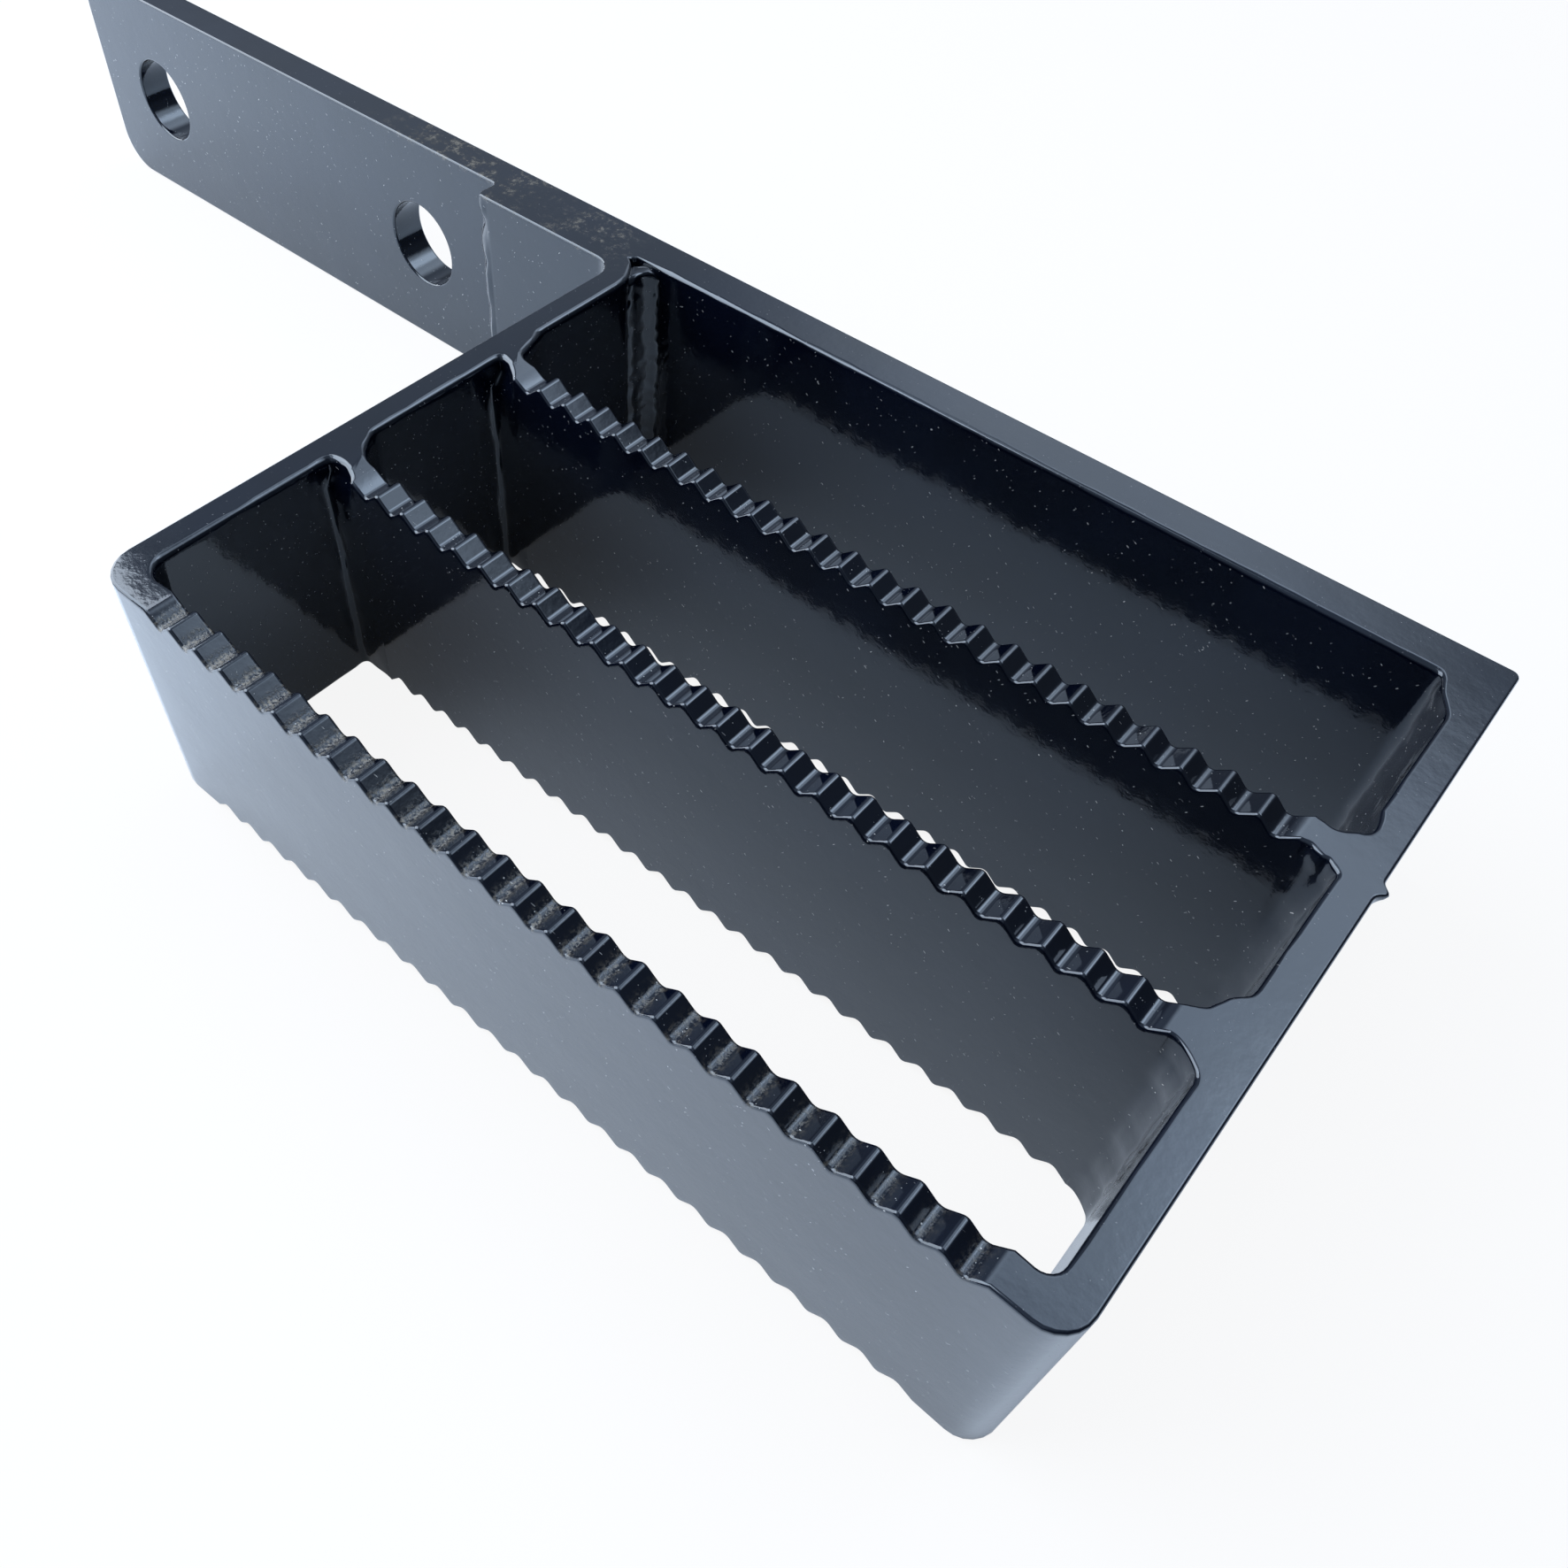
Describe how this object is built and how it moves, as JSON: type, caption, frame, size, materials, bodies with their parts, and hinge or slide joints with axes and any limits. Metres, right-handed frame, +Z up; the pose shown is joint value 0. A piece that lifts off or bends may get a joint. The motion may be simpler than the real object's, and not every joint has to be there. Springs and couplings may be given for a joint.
{
  "type": "towbar step",
  "caption": "Welded steel step for a towbar: a flat mounting bar with towball bolt holes carries a bent-strip frame with serrated tread bars, painted gloss black.",
  "frame": {"origin": "midway between the two bolt holes, on the mounting bar's rear face", "axes": "+X along the mounting bar towards the step, +Y towards the vehicle, +Z up"},
  "size_m": [0.3347, 0.121, 0.045],
  "materials": {
    "black_paint": "gloss black paint over steel, thick and slightly wavy, with dust in the notches"
  },
  "bodies": {
    "root": {"mounting_bar": "black_paint", "step_frame": "black_paint", "front_tread_bar": "black_paint", "rear_tread_bar": "black_paint", "flange_weld": "black_paint", "left_corner_weld": "black_paint", "right_corner_weld": "black_paint", "spatter_bead": "black_paint", "front_tread_left_front_weld": "black_paint", "front_tread_left_rear_weld": "black_paint", "front_tread_right_front_weld": "black_paint", "front_tread_right_rear_weld": "black_paint", "rear_tread_left_front_weld": "black_paint", "rear_tread_left_rear_weld": "black_paint", "rear_tread_right_front_weld": "black_paint", "rear_tread_right_rear_weld": "black_paint"}
  },
  "joints": []
}
